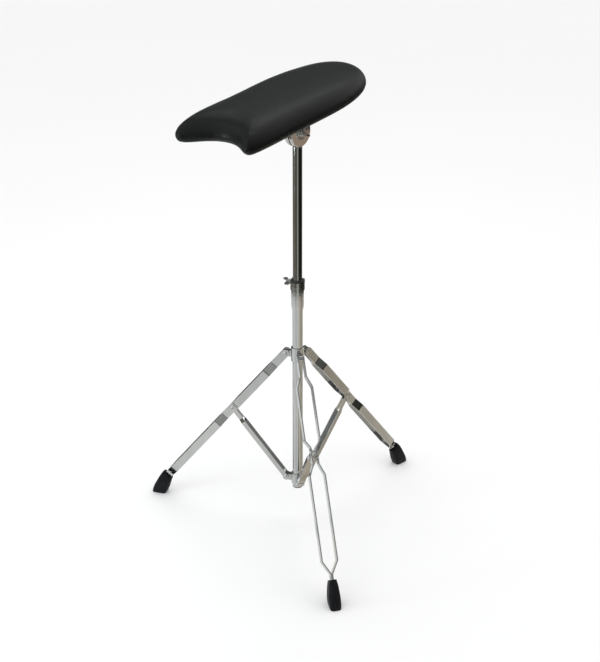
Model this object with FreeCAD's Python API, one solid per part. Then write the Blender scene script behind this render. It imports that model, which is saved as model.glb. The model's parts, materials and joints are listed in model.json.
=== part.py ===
import FreeCAD, Part
import os
from math import cos, hypot, pi, radians, sin, sqrt, tan

# Drum throne: a height-adjustable pole on a folding tripod, with a tilting, notched seat pad.
# Millimetres. +Z is up and the origin is on the floor below the pole's axis. The pad's long
# axis lies along Y: its round end points to +Y and its notch to -Y.

V = FreeCAD.Vector
ORIGIN = V(0, 0, 0)
X_AXIS = V(1, 0, 0)
Y_AXIS = V(0, 1, 0)
Z_AXIS = V(0, 0, 1)

# --- Tripod linkage -------------------------------------------------------------------------
FIRST_LEG_AZIMUTH = 83.7       # degrees from +X; the other legs follow 120 degrees apart
LEG_AZIMUTHS = [FIRST_LEG_AZIMUTH + 120.0 * k for k in range(3)]
LEAN = 38.7                    # degrees from vertical, legs and braces alike, when spread
PIVOT_RADIUS = 25.0            # collar pivots, from the pole's axis
UPPER_PIVOT_Z = 400.0
LOWER_PIVOT_Z = 97.6
LINK = (UPPER_PIVOT_Z - LOWER_PIVOT_Z) / 2 / cos(radians(LEAN))

# --- Rivets and running clearances ----------------------------------------------------------
RIVET_R = 2.5
RIVET_HEAD_R = 4.6
RIVET_HEAD_H = 2.0
PIN_CLEARANCE = 0.08           # radial, rivets in the pieces that turn on them
OPEN_PIVOT_CLEARANCE = 0.25    # radial, rivets at the upper ends of the legs
SIDE_CLEARANCE = 0.15          # between flat faces that turn past each other

# --- Legs: two mirrored bent strips each ----------------------------------------------------
STRIP_WIDTH = 17.0
STRIP_THICK = 2.4
STRIP_BEND_R = 7.0
PINCH_GAP = 9.6                # between the strips where they are drawn together
SPREAD_GAP = 29.0              # between the strips along the open runs
# Bend stations, measured along the leg from its upper pivot.
TOP_BEND = 39.0
TOP_OPEN = 62.0
UPPER_RUN_END = LINK - 22.0
PINCH_START = LINK - 7.5
PINCH_END = LINK + 27.0
LOWER_RUN_START = PINCH_END + 23.0
LOWER_RUN_END = 415.0
NECK_START = 441.0
TIP_RIVET = 446.5
TAPER_START = 456.0
STRIP_END = 466.0
STRIP_END_WIDTH = 11.0
TIP_RIVET_R = 2.0
TIP_HEAD_R = 3.6
TIP_HEAD_H = 1.5

# --- Rubber feet: sections down the boot, in the leg's own upright plane --------------------
# Each is (outer r, outer z, inner r, inner z, half thickness, corner radius).
FOOT_SECTIONS = [
    (318.0, 55.6, 298.6, 40.6, 7.2, 4.5),
    (327.0, 44.0, 302.5, 30.0, 9.8, 6.0),
    (337.0, 26.0, 307.5, 15.0, 11.8, 7.5),
    (345.0, 8.0, 312.0, 4.5, 11.9, 7.0),
    (346.4, 0.0, 314.0, 0.0, 11.2, 6.5),
]

# --- Braces: channels between the lower collar and the legs ---------------------------------
BRACE_DEPTH = 9.5
BRACE_SHEET = 1.5
BRACE_INNER = 5.75             # half the gap between the flanges
BRACE_NECK_OUTER = 4.6         # half the width of the neck that enters the leg
BRACE_BEND_R = 4.0
BRACE_LOWER_EYE_R = 7.0
BRACE_UPPER_EYE_R = 6.5
NECK_LENGTH = 30.0             # from the upper eye
NECK_RAMP = 10.0
WEB_START = 12.0               # from the lower eye
WEB_END = 40.0                 # from the upper eye

# --- Pole -----------------------------------------------------------------------------------
BASE_TUBE_R = 11.1
BASE_TUBE_BORE = 9.95
BASE_TUBE_BOTTOM = 78.0
BASE_TUBE_TOP = 546.0
PLUG_FLANGE = 2.0
PLUG_LENGTH = 7.0
UPPER_TUBE_R = 9.5
UPPER_TUBE_BORE = 8.3
UPPER_TUBE_BOTTOM = 362.0
UPPER_TUBE_TOP = 845.0

# --- Tripod collars -------------------------------------------------------------------------
COLLAR_R = 14.0
LOWER_COLLAR_HALF = 13.0
UPPER_COLLAR_HALF = 16.0
UPPER_COLLAR_BORE = 11.4
LOWER_LUG_HALF = BRACE_INNER - SIDE_CLEARANCE
UPPER_LUG_HALF = PINCH_GAP / 2 - SIDE_CLEARANCE
LUG_EYE_R = 7.0
LUG_ROOT = 12.4                # inside the collar's wall
COLLAR_PIN_R = 1.5
COLLAR_PIN_Z = LOWER_PIVOT_Z + 9.0
PIN_RECESS = 0.4               # below the collar's face
COLLAR_EDGE = 1.2              # chamfer on the collars' ends

# --- Wing screws and wing nuts --------------------------------------------------------------
SCREW_R = 2.9
THREAD_CLEARANCE = 0.1
TIP_GAP = 0.25                 # from the screw's tip to the tube it presses on
BOSS_R = 6.5
BOSS_END = 20.5
LOCK_HUB_START = 24.0
HUB_SINK = 1.0                 # the shank's end inside the hub
LOCK_AZIMUTH = FIRST_LEG_AZIMUTH + 60.0
WING_HUB_R = 4.6
WING_HUB_LENGTH = 8.0
WING_SPAN = 13.0               # from the axis to each wing's centre
WING_REACH = 12.0              # along the axis, from the hub's foot to the wing's centre
WING_TIP_R = 4.8
WING_THICK = 2.6
WING_ROOT = 0.75               # of a hub's radius, where a wing's outer edge starts
WING_CREST = 0.1               # of a hub's radius, where its inner edge ends

# --- Height clamp ---------------------------------------------------------------------------
SLEEVE_R = 13.2
SLEEVE_BOTTOM = 503.0
SLEEVE_TAPER = 9.0
SLEEVE_FOOT_R = 11.9
BUSHING_BORE = 9.57
BUSHING_R = 12.2
BUSHING_TOP = 565.0
BUSHING_FLANGE_R = 13.6
BUSHING_FLANGE = 2.6
BUSHING_SLOT = 2.4
CLAMP_BORE = 12.25
CLAMP_R = 14.8
CLAMP_BOTTOM = 547.0
CLAMP_TOP = 564.6
CLAMP_EAR_REACH = 30.0
CLAMP_EAR_R = 7.5
CLAMP_EAR_THICK = 8.0
CLAMP_SLOT = 2.6
CLAMP_BOLT_X = 22.5
CLAMP_AZIMUTH = 135.5
CLAMP_BOLT_R = 2.5
CLAMP_HEAD_R = 5.0
CLAMP_HEAD_H = 7.5
CLAMP_BOLT_END = 22.0

# --- Seat tilter ----------------------------------------------------------------------------
PIVOT_Z = 875.0                # the tilt axis, along X
SEAT_PITCH = 7.5               # degrees, the pad's round end up
SPIGOT_R = 8.24                # of the tilter's stem, inside the upper tube
SPIGOT_BOTTOM = 806.0
SHOULDER_TOP = 848.0           # the stem's shoulder, on the upper tube
GROOVE_Z = 832.0               # for the retaining screw
GROOVE_R = 6.4
GROOVE_HALF = 2.2
RETAINER_R = 1.8
RETAINER_HEAD_R = 3.2
RETAINER_HEAD_H = 1.2
STEM_TOP_R = 5.3               # where the stem meets the lower disc
STEM_RISE = 10.0               # into the lower disc
DISC_CLEARANCE = 1.5           # round the upper disc
DISC_R = 28.0
DISC_THICK = 8.5
DISC_RIM = 1.5                 # chamfer on each disc's outer edge
FRICTION_R = 24.0
FRICTION_THICK = 3.0
DISC_GAP = 0.1
TILT_BOLT_R = 4.0
TILT_BORE = 4.1
TILT_HEAD_R = 7.0
TILT_HEAD_H = 5.0
TILT_WASHER_R = 13.0
TILT_WASHER_THICK = 1.6
TILT_NUT_GAP = 0.1
TILT_BOLT_END = 20.0
TILT_HUB_R = 7.5
TILT_HUB_LENGTH = 6.5
TILT_WING_SPAN = 11.5
TILT_WING_REACH = 6.0
TILT_WING_TIP_R = 4.6
TILT_WING_THICK = 3.0
TILT_WING_TURN = -28.0         # degrees about the tilt axis, from level

# --- Seat, in its own frame: origin on the tilt axis, pad level ------------------------------
PAD_BOTTOM = 49.6              # above the tilt axis
CLOTH_THICK = 0.8
CLOTH_GAP = 0.1                # above and below the cloth
PLATE_TOP = PAD_BOTTOM - CLOTH_THICK - 2 * CLOTH_GAP
PLATE_THICK = 3.0
PLATE_LENGTH = 150.0
PLATE_WIDTH = 104.0
PLATE_CORNER = 14.0
NECK_BASE = DISC_R + 3.0       # clear of the lower disc at every tilt
NECK_OVERLAP = 2.0             # of the disc's stem in the neck
NECK_FOOT = (13.0, 20.0)       # half sizes at the neck's foot
NECK_HEAD = (24.0, 30.0)       # half sizes under the plate
NECK_CORNER = 6.0
PLATE_SCREW_X = 38.0
PLATE_SCREW_Y = 60.0
PLATE_SCREW_R = 3.0
SCREW_HEAD_R = 6.0
SCREW_HEAD_H = 3.2
HEAD_FLAT = 0.6                # of the head's radius
HEAD_EDGE = 0.35               # of the head's height
SCREW_LENGTH = 13.0
PAD_OFFSET = PAD_BOTTOM * tan(radians(SEAT_PITCH))    # puts the pad's middle on the pole
PAD_BACK = 249.5 - PAD_OFFSET  # from the tilt axis to the lobes' tips
PAD_FRONT = 169.5 + PAD_OFFSET # from the tilt axis to the round end
NOTCH_DEPTH = 40.0
HALF_LOBES = 90.0
HALF_WAIST = 96.0
HALF_NOSE = 82.5
PAD_THICK = 38.0               # at the rim, before the crown
PAD_CROWN = 11.0
PAD_ROUND = 36.0
FLANK_X = 0.42                 # of HALF_LOBES, half way up the notch's side
FLANK_Y = 0.58                 # of NOTCH_DEPTH, at the same place
TIP_X = 0.87                   # of HALF_LOBES, at a lobe's tip
LOBE_SIDE = 0.06               # of the pad's length, from the tip to the lobe's side
NOSE_START = 0.58              # of PAD_FRONT, where the round end starts
NOSE_X = 0.55                  # of HALF_NOSE, part way round the end
NOSE_Y = 0.91                  # of PAD_FRONT, at the same place
WAIST_Y = -103.0               # where the pad is widest
LOBE_SHORT = 16.0              # the +X lobe ends this much short of the other
FLANK_OUT = 14.0               # its notch side lies this much further out
TIP_OUT = 8.0                  # and its tip
SIDE_OUT = 3.0                 # and its outer side
PAD_SIDE = [                    # share of PAD_THICK, share of PAD_ROUND drawn in
    (0.0, 0.42),
    (0.12, 0.16),
    (0.36, 0.0),
    (0.62, 0.07),
    (0.82, 0.25),
    (0.94, 0.52),
]
PAD_TOP = [                     # share of the pad's half sizes, share of PAD_CROWN
    (0.6, 0.62),
    (0.3, 0.93),
    (0.08, 1.0),
]
CROWN_PULL = 0.015             # drawn in for each mm of shrink
SKIN = 2.0                     # vinyl with the thin wadding glued to it
BOARD_INSET = 20.0
BOARD_THICK = 9.0
BOARD_GAP = 2.2                # from the pad's underside to the board
HEM_WIDTH = 26.0               # of the cover folded under the board
CLOTH_INSET = 36.0             # the bottom cloth's edge, over the hem
TEE_NUT_R = 9.0
TEE_BARREL_R = 4.0
TEE_FLANGE = 1.2


# --- General shapes -------------------------------------------------------------------------
def rod(radius, length, base, axis=Z_AXIS):
    """Solid cylinder from base along axis."""
    return Part.makeCylinder(radius, length, base, axis)


def tube(outer, inner, bottom, top):
    """Round tube on the pole's axis."""
    return rod(outer, top - bottom, V(0, 0, bottom)).cut(rod(inner, top - bottom, V(0, 0, bottom)))


def block(low, high):
    """Box between two corners."""
    size = high.sub(low)
    return Part.makeBox(size.x, size.y, size.z, low)


def turned(points, axis_base=ORIGIN, axis=Z_AXIS):
    """Solid of revolution of a closed outline."""
    wire = Part.makePolygon(points + points[:1])
    return Part.Face(wire).revolve(axis_base, axis, 360)


def around_pole(shape, azimuth):
    """The shape turned about the pole's axis."""
    moved = shape.copy()
    moved.rotate(ORIGIN, Z_AXIS, azimuth)
    return moved


def for_each_leg(shape):
    """Three copies about the pole, as a group of separate solids."""
    return Part.makeCompound([around_pole(shape, azimuth) for azimuth in LEG_AZIMUTHS])


def filleted_path(points, radius, shift):
    """Edges of a polyline in XY with rounded corners, shifted sideways by shift."""
    edges = []
    directions = [b.sub(a).normalize() for a, b in zip(points, points[1:])]
    normals = [V(-d.y, d.x, 0) for d in directions]
    start = points[0] + normals[0] * shift
    for k in range(1, len(points) - 1):
        before, after = directions[k - 1], directions[k]
        side = 1 if before.cross(after).z > 0 else -1
        reach = radius * tan(before.getAngle(after) / 2)
        tangent = points[k] - before * reach
        centre = tangent + normals[k - 1] * (radius * side)
        middle = (points[k] - centre).normalize()
        arc_start = tangent + normals[k - 1] * shift
        arc_middle = centre + middle * (radius - side * shift)
        arc_end = points[k] + after * reach + normals[k] * shift
        edges.append(Part.LineSegment(start, arc_start).toShape())
        edges.append(Part.Arc(arc_start, arc_middle, arc_end).toShape())
        start = arc_end
    end = points[-1] + normals[-1] * shift
    edges.append(Part.LineSegment(start, end).toShape())
    return edges


def bent_sheet(points, radius, thickness, low, high):
    """Strip of sheet whose edge follows a polyline in XY, from z low to z high."""
    left = filleted_path(points, radius, thickness / 2)
    right = filleted_path(points, radius, -thickness / 2)
    first = Part.LineSegment(left[0].Vertexes[0].Point, right[0].Vertexes[0].Point).toShape()
    last = Part.LineSegment(left[-1].Vertexes[-1].Point, right[-1].Vertexes[-1].Point).toShape()
    face = Part.Face(Part.Wire(Part.__sortEdges__(left + right + [first, last])))
    face.translate(V(0, 0, low))
    return face.extrude(V(0, 0, high - low))


def rivet(half_grip, shank_r=RIVET_R, head_r=RIVET_HEAD_R, head_h=RIVET_HEAD_H):
    """Domed rivet along Y, centred on the origin; half_grip is to the underside of a head."""
    top = half_grip + head_h
    ball = (head_r ** 2 + head_h ** 2) / (2 * head_h)
    rise = ball - sqrt(ball ** 2 - (head_r / 2) ** 2)
    outline = [
        Part.Arc(V(0, -top, 0), V(head_r / 2, rise - top, 0), V(head_r, -half_grip, 0)),
        Part.LineSegment(V(head_r, -half_grip, 0), V(shank_r, -half_grip, 0)),
        Part.LineSegment(V(shank_r, -half_grip, 0), V(shank_r, half_grip, 0)),
        Part.LineSegment(V(shank_r, half_grip, 0), V(head_r, half_grip, 0)),
        Part.Arc(V(head_r, half_grip, 0), V(head_r / 2, top - rise, 0), V(0, top, 0)),
        Part.LineSegment(V(0, top, 0), V(0, -top, 0)),
    ]
    wire = Part.Wire([curve.toShape() for curve in outline])
    return Part.Face(wire).revolve(ORIGIN, Y_AXIS, 360)


def wings(hub_r, hub_length, span, reach, tip_r, thick):
    """Hub along X from the origin with two swept wings in the XY plane."""
    shape = rod(hub_r, hub_length, ORIGIN, X_AXIS)
    for side in (1, -1):
        centre = V(reach, side * span, 0)
        tip = rod(tip_r, thick, centre - V(0, 0, thick / 2))
        normal = V(-side * span, reach, 0).normalize()
        root = normal * (hub_r * WING_ROOT)
        corners = [
            root,
            centre + normal * tip_r,
            centre - normal * tip_r,
            V(hub_length, 0, 0) - normal * (hub_r * WING_CREST),
            root,
        ]
        web = Part.Face(Part.makePolygon(corners)).extrude(V(0, 0, thick))
        web.translate(V(0, 0, -thick / 2))
        shape = shape.fuse(tip).fuse(web)
    return shape.cut(block(V(-span, -2 * span, -span), V(0, 2 * span, span))).removeSplitter()


# --- Tripod ---------------------------------------------------------------------------------
def place_on_leg(shape):
    """From the strip's frame (X down the leg, Y tangential) to the leg at azimuth 0."""
    moved = shape.copy()
    moved.rotate(ORIGIN, Y_AXIS, 90 - LEAN)
    moved.translate(V(PIVOT_RADIUS, 0, UPPER_PIVOT_Z))
    return moved


def leg_strip():
    """One strip of a leg in the strip's frame, on the +Y side."""
    near = (PINCH_GAP + STRIP_THICK) / 2
    far = (SPREAD_GAP + STRIP_THICK) / 2
    touching = STRIP_THICK / 2
    half = STRIP_WIDTH / 2
    path = [
        V(-half, near, 0), V(TOP_BEND, near, 0), V(TOP_OPEN, far, 0),
        V(UPPER_RUN_END, far, 0), V(PINCH_START, near, 0),
        V(PINCH_END, near, 0), V(LOWER_RUN_START, far, 0),
        V(LOWER_RUN_END, far, 0), V(NECK_START, touching, 0), V(STRIP_END, touching, 0),
    ]
    strip = bent_sheet(path, STRIP_BEND_R, STRIP_THICK, -half, half)
    end_half = STRIP_END_WIDTH / 2
    outline = Part.makePolygon([
        V(0, 0, half), V(TAPER_START, 0, half), V(STRIP_END, 0, end_half),
        V(STRIP_END, 0, -end_half), V(TAPER_START, 0, -half), V(0, 0, -half), V(0, 0, half),
    ])
    profile = Part.Face(outline).extrude(V(0, SPREAD_GAP, 0))
    profile = profile.fuse(rod(half, SPREAD_GAP, ORIGIN, Y_AXIS))
    strip = strip.common(profile)
    hole_r = RIVET_R + OPEN_PIVOT_CLEARANCE
    strip = strip.cut(rod(hole_r, SPREAD_GAP, ORIGIN, Y_AXIS))
    strip = strip.cut(rod(RIVET_R, SPREAD_GAP, V(LINK, 0, 0), Y_AXIS))
    return strip.cut(rod(TIP_RIVET_R, SPREAD_GAP, V(TIP_RIVET, 0, 0), Y_AXIS))


def foot(strips):
    """Rubber boot at azimuth 0, moulded round the strips' ends."""
    wires = []
    for outer_r, outer_z, inner_r, inner_z, half, corner in FOOT_SECTIONS:
        outer = V(outer_r, 0, outer_z)
        inner = V(inner_r, 0, inner_z)
        along = (outer - inner).normalize()
        wires.append(rounded_rectangle(inner, outer, along, half, corner))
    boot = Part.makeLoft(wires, True, False)
    return boot.cut(strips[0]).cut(strips[1])


def rounded_rectangle(inner, outer, along, half, corner):
    """Closed wire from inner to outer and half to each side in Y, with round corners."""
    side = V(0, 1, 0)
    slack = 1 - sqrt(0.5)
    edges = []
    corners = [(outer, -1, 1), (outer, -1, -1), (inner, 1, -1), (inner, 1, 1)]
    previous = None
    first = None
    for k, (end, inward, across) in enumerate(corners):
        point = end + side * (half * across)
        to_inside = along * (inward * corner)
        to_middle = side * (-across * corner)
        start, finish = (point + to_inside, point + to_middle)
        if k % 2:
            start, finish = finish, start
        middle = point + to_inside * slack + to_middle * slack
        if previous is not None:
            edges.append(Part.LineSegment(previous, start).toShape())
        else:
            first = start
        edges.append(Part.Arc(start, middle, finish).toShape())
        previous = finish
    edges.append(Part.LineSegment(previous, first).toShape())
    return Part.Wire(edges)


def brace():
    """Channel at azimuth 0, from the lower collar's pivot to the leg's mid rivet."""
    wide = BRACE_INNER + BRACE_SHEET / 2
    narrow = BRACE_NECK_OUTER - BRACE_SHEET / 2
    deep = BRACE_DEPTH / 2
    reach = BRACE_LOWER_EYE_R
    path = [
        V(-reach, wide, 0), V(LINK - NECK_LENGTH - NECK_RAMP, wide, 0),
        V(LINK - NECK_LENGTH, narrow, 0), V(LINK + reach, narrow, 0),
    ]
    flange = bent_sheet(path, BRACE_BEND_R, BRACE_SHEET, -reach, reach)
    side_view = block(V(0, 0, -deep), V(LINK, 2 * wide, deep))
    side_view = side_view.fuse(rod(BRACE_LOWER_EYE_R, 2 * wide, ORIGIN, Y_AXIS))
    side_view = side_view.fuse(rod(BRACE_UPPER_EYE_R, 2 * wide, V(LINK, 0, 0), Y_AXIS))
    flange = flange.common(side_view)
    other = flange.mirror(ORIGIN, Y_AXIS)
    web = block(V(WEB_START, -wide, -deep), V(LINK - WEB_END, wide, BRACE_SHEET - deep))
    shape = flange.fuse(web).fuse(other).removeSplitter()
    hole_r = RIVET_R + PIN_CLEARANCE
    for station in (0, LINK):
        shape = shape.cut(rod(hole_r, 4 * wide, V(station, -2 * wide, 0), Y_AXIS))
    shape.rotate(ORIGIN, Y_AXIS, LEAN - 90)
    shape.translate(V(PIVOT_RADIUS, 0, LOWER_PIVOT_Z))
    return shape


def collar(pivot_z, half_height, bore, lug_half):
    """Round collar with three pivot lugs."""
    bottom = pivot_z - half_height
    top = pivot_z + half_height
    edge = COLLAR_R - COLLAR_EDGE
    shape = turned([
        V(0, 0, bottom), V(edge, 0, bottom), V(COLLAR_R, 0, bottom + COLLAR_EDGE),
        V(COLLAR_R, 0, top - COLLAR_EDGE), V(edge, 0, top), V(0, 0, top),
    ])
    lug = block(V(LUG_ROOT, -lug_half, pivot_z - LUG_EYE_R),
                V(PIVOT_RADIUS, lug_half, pivot_z + LUG_EYE_R))
    eye_base = V(PIVOT_RADIUS, -lug_half, pivot_z)
    lug = lug.fuse(rod(LUG_EYE_R, 2 * lug_half, eye_base, Y_AXIS))
    lug = lug.cut(rod(RIVET_R, 2 * lug_half, eye_base, Y_AXIS))
    for azimuth in LEG_AZIMUTHS:
        shape = shape.fuse(around_pole(lug, azimuth))
    shape = shape.removeSplitter()
    return shape.cut(rod(bore, top - bottom, V(0, 0, bottom)))


def upper_collar():
    """Sliding collar with a threaded boss for its locking screw."""
    shape = collar(UPPER_PIVOT_Z, UPPER_COLLAR_HALF, UPPER_COLLAR_BORE, UPPER_LUG_HALF)
    boss = rod(BOSS_R, BOSS_END - LUG_ROOT, V(LUG_ROOT, 0, UPPER_PIVOT_Z), X_AXIS)
    hole = rod(SCREW_R + THREAD_CLEARANCE, BOSS_END, V(0, 0, UPPER_PIVOT_Z), X_AXIS)
    shape = shape.fuse(around_pole(boss, LOCK_AZIMUTH)).cut(around_pole(hole, LOCK_AZIMUTH))
    inside = rod(UPPER_COLLAR_BORE, 2 * UPPER_COLLAR_HALF,
                 V(0, 0, UPPER_PIVOT_Z - UPPER_COLLAR_HALF))
    return shape.cut(inside)


def collar_lock_screw():
    """Wing screw that holds the upper collar on the tube; its wings stand upright."""
    shape = wings(WING_HUB_R, WING_HUB_LENGTH, WING_SPAN, WING_REACH, WING_TIP_R, WING_THICK)
    shape.rotate(ORIGIN, X_AXIS, 90)
    shape.translate(V(LOCK_HUB_START, 0, UPPER_PIVOT_Z))
    tip = BASE_TUBE_R + TIP_GAP
    shank = rod(SCREW_R, LOCK_HUB_START + HUB_SINK - tip, V(tip, 0, UPPER_PIVOT_Z), X_AXIS)
    return around_pole(shape.fuse(shank).removeSplitter(), LOCK_AZIMUTH)


def lower_collar():
    """Fixed collar, cross-drilled for the pin that holds it on the tube."""
    shape = collar(LOWER_PIVOT_Z, LOWER_COLLAR_HALF, BASE_TUBE_R, LOWER_LUG_HALF)
    return shape.cut(collar_pin())


def collar_pin():
    """Pin through the lower collar and the tube."""
    half = COLLAR_R - PIN_RECESS
    pin = rod(COLLAR_PIN_R, 2 * half, V(-half, 0, COLLAR_PIN_Z), X_AXIS)
    return around_pole(pin, LOCK_AZIMUTH)


# --- Pole -----------------------------------------------------------------------------------
def base_tube():
    """Lower tube of the pole."""
    shape = tube(BASE_TUBE_R, BASE_TUBE_BORE, BASE_TUBE_BOTTOM, BASE_TUBE_TOP)
    return shape.cut(collar_pin())


def base_plug():
    """Plug that closes the tube's lower end."""
    flange = rod(BASE_TUBE_R, PLUG_FLANGE, V(0, 0, BASE_TUBE_BOTTOM - PLUG_FLANGE))
    return flange.fuse(rod(BASE_TUBE_BORE, PLUG_LENGTH, V(0, 0, BASE_TUBE_BOTTOM)))


def clamp_sleeve():
    """Sleeve pressed on the tube's upper end, under the clamp."""
    taper_top = SLEEVE_BOTTOM + SLEEVE_TAPER
    shape = turned([
        V(0, 0, SLEEVE_BOTTOM), V(SLEEVE_FOOT_R, 0, SLEEVE_BOTTOM), V(SLEEVE_R, 0, taper_top),
        V(SLEEVE_R, 0, BASE_TUBE_TOP), V(0, 0, BASE_TUBE_TOP),
    ])
    return shape.cut(rod(BASE_TUBE_R, BASE_TUBE_TOP, ORIGIN))


def clamp_bushing():
    """Split guide bushing that the clamp squeezes on the upper tube."""
    shape = rod(BUSHING_R, BUSHING_TOP - BASE_TUBE_TOP, V(0, 0, BASE_TUBE_TOP))
    shape = shape.fuse(rod(BUSHING_FLANGE_R, BUSHING_FLANGE, V(0, 0, BUSHING_TOP)))
    shape = shape.cut(rod(BUSHING_BORE, BUSHING_TOP + BUSHING_FLANGE, ORIGIN))
    slot = block(V(0, -BUSHING_SLOT / 2, BASE_TUBE_TOP),
                 V(2 * BUSHING_R, BUSHING_SLOT / 2, BUSHING_TOP + BUSHING_FLANGE))
    return around_pole(shape.cut(slot), CLAMP_AZIMUTH)


def height_clamp():
    """Split cast ring with two ears."""
    middle = (CLAMP_BOTTOM + CLAMP_TOP) / 2
    ear_half = CLAMP_SLOT / 2 + CLAMP_EAR_THICK
    ring = rod(CLAMP_R, CLAMP_TOP - CLAMP_BOTTOM, V(0, 0, CLAMP_BOTTOM))
    round_end = CLAMP_EAR_REACH - CLAMP_EAR_R
    ears = block(V(0, -ear_half, middle - CLAMP_EAR_R), V(round_end, ear_half, middle + CLAMP_EAR_R))
    ears = ears.fuse(rod(CLAMP_EAR_R, 2 * ear_half, V(round_end, -ear_half, middle), Y_AXIS))
    shape = ring.fuse(ears).cut(rod(CLAMP_BORE, CLAMP_TOP, ORIGIN)).removeSplitter()
    slot = block(V(0, -CLAMP_SLOT / 2, CLAMP_BOTTOM),
                 V(2 * CLAMP_EAR_REACH, CLAMP_SLOT / 2, CLAMP_TOP))
    bolt_hole = rod(CLAMP_BOLT_R, 4 * ear_half, V(CLAMP_BOLT_X, -2 * ear_half, middle), Y_AXIS)
    return around_pole(shape.cut(slot).cut(bolt_hole), CLAMP_AZIMUTH)


def clamp_bolt():
    """Round-headed bolt through the clamp's ears."""
    middle = (CLAMP_BOTTOM + CLAMP_TOP) / 2
    ear_half = CLAMP_SLOT / 2 + CLAMP_EAR_THICK
    head_start = V(CLAMP_BOLT_X, -ear_half - CLAMP_HEAD_H, middle)
    length = CLAMP_BOLT_END + ear_half
    shank = rod(CLAMP_BOLT_R, length, V(CLAMP_BOLT_X, -ear_half, middle), Y_AXIS)
    head = rod(CLAMP_HEAD_R, CLAMP_HEAD_H, head_start, Y_AXIS)
    return around_pole(shank.fuse(head), CLAMP_AZIMUTH)


def clamp_wing_nut():
    """Wing nut on the clamp's bolt, wings level."""
    middle = (CLAMP_BOTTOM + CLAMP_TOP) / 2
    ear_half = CLAMP_SLOT / 2 + CLAMP_EAR_THICK
    shape = wings(WING_HUB_R, WING_HUB_LENGTH, WING_SPAN, WING_REACH, WING_TIP_R, WING_THICK)
    bore_r = CLAMP_BOLT_R + PIN_CLEARANCE
    shape = shape.cut(rod(bore_r, 4 * WING_REACH, V(-WING_REACH, 0, 0), X_AXIS))
    shape.rotate(ORIGIN, Z_AXIS, 90)
    shape.translate(V(CLAMP_BOLT_X, ear_half + SIDE_CLEARANCE, middle))
    return around_pole(shape, CLAMP_AZIMUTH)


def upper_tube():
    """Upper tube of the pole, drilled for the retaining screw."""
    shape = tube(UPPER_TUBE_R, UPPER_TUBE_BORE, UPPER_TUBE_BOTTOM, UPPER_TUBE_TOP)
    hole = rod(RETAINER_R, 2 * UPPER_TUBE_R, V(0, 0, GROOVE_Z), X_AXIS)
    return shape.cut(around_pole(hole, CLAMP_AZIMUTH))


# --- Tilter ---------------------------------------------------------------------------------
def tilt_disc(x_start, x_end):
    """Disc about the tilt axis, chamfered at both rims, without its bore."""
    return turned([
        V(x_start, 0, 0), V(x_start, DISC_R - DISC_RIM, 0), V(x_start + DISC_RIM, DISC_R, 0),
        V(x_end - DISC_RIM, DISC_R, 0), V(x_end, DISC_R - DISC_RIM, 0), V(x_end, 0, 0),
    ], ORIGIN, X_AXIS)


def on_tilt_axis(shape):
    """From the tilter's frame to its place on the pole."""
    moved = shape.copy()
    moved.translate(V(0, 0, PIVOT_Z))
    return moved


def tilter_socket():
    """Stem that turns in the upper tube, with the lower disc."""
    face = -FRICTION_THICK / 2
    disc = tilt_disc(face - DISC_THICK, face)
    rest = UPPER_TUBE_TOP + SIDE_CLEARANCE - PIVOT_Z
    bottom = SPIGOT_BOTTOM - PIVOT_Z
    shoulder = SHOULDER_TOP - PIVOT_Z
    groove_low = GROOVE_Z - GROOVE_HALF - PIVOT_Z
    groove_high = GROOVE_Z + GROOVE_HALF - PIVOT_Z
    stem = turned([
        V(0, 0, bottom), V(SPIGOT_R - COLLAR_EDGE, 0, bottom),
        V(SPIGOT_R, 0, bottom + COLLAR_EDGE), V(SPIGOT_R, 0, groove_low),
        V(GROOVE_R, 0, groove_low), V(GROOVE_R, 0, groove_high),
        V(SPIGOT_R, 0, groove_high), V(SPIGOT_R, 0, rest), V(UPPER_TUBE_R, 0, rest),
        V(UPPER_TUBE_R, 0, shoulder), V(0, 0, shoulder),
    ])
    base = Part.Wire(Part.makeCircle(UPPER_TUBE_R, V(0, 0, shoulder)))
    top_middle = V(face - DISC_THICK / 2, 0, STEM_RISE - DISC_R)
    cone = Part.makeLoft([base, Part.Wire(Part.makeCircle(STEM_TOP_R, top_middle))], True, True)
    keep_clear = rod(DISC_R + DISC_CLEARANCE, 4 * DISC_THICK, V(face, 0, 0), X_AXIS)
    body = stem.fuse(cone).cut(keep_clear).fuse(disc).removeSplitter()
    return on_tilt_axis(body.cut(rod(TILT_BOLT_R, 4 * DISC_R, V(-2 * DISC_R, 0, 0), X_AXIS)))


def retainer_screw():
    """Screw through the upper tube's wall, its tip in the stem's groove."""
    tip = GROOVE_R + TIP_GAP
    start = V(tip, 0, GROOVE_Z)
    shank = rod(RETAINER_R, UPPER_TUBE_R - tip, start, X_AXIS)
    head = rod(RETAINER_HEAD_R, RETAINER_HEAD_H, V(UPPER_TUBE_R, 0, GROOVE_Z), X_AXIS)
    return around_pole(shank.fuse(head), CLAMP_AZIMUTH)


def friction_disc():
    """Fibre disc between the tilter's two discs."""
    shape = rod(FRICTION_R, FRICTION_THICK, V(-FRICTION_THICK / 2, 0, 0), X_AXIS)
    return on_tilt_axis(shape.cut(rod(TILT_BOLT_R, 4 * FRICTION_R, V(-FRICTION_R, 0, 0), X_AXIS)))


UPPER_DISC_START = FRICTION_THICK / 2 + DISC_GAP
UPPER_DISC_END = UPPER_DISC_START + DISC_THICK
WASHER_START = UPPER_DISC_END + DISC_GAP
NUT_START = WASHER_START + TILT_WASHER_THICK + TILT_NUT_GAP


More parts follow.
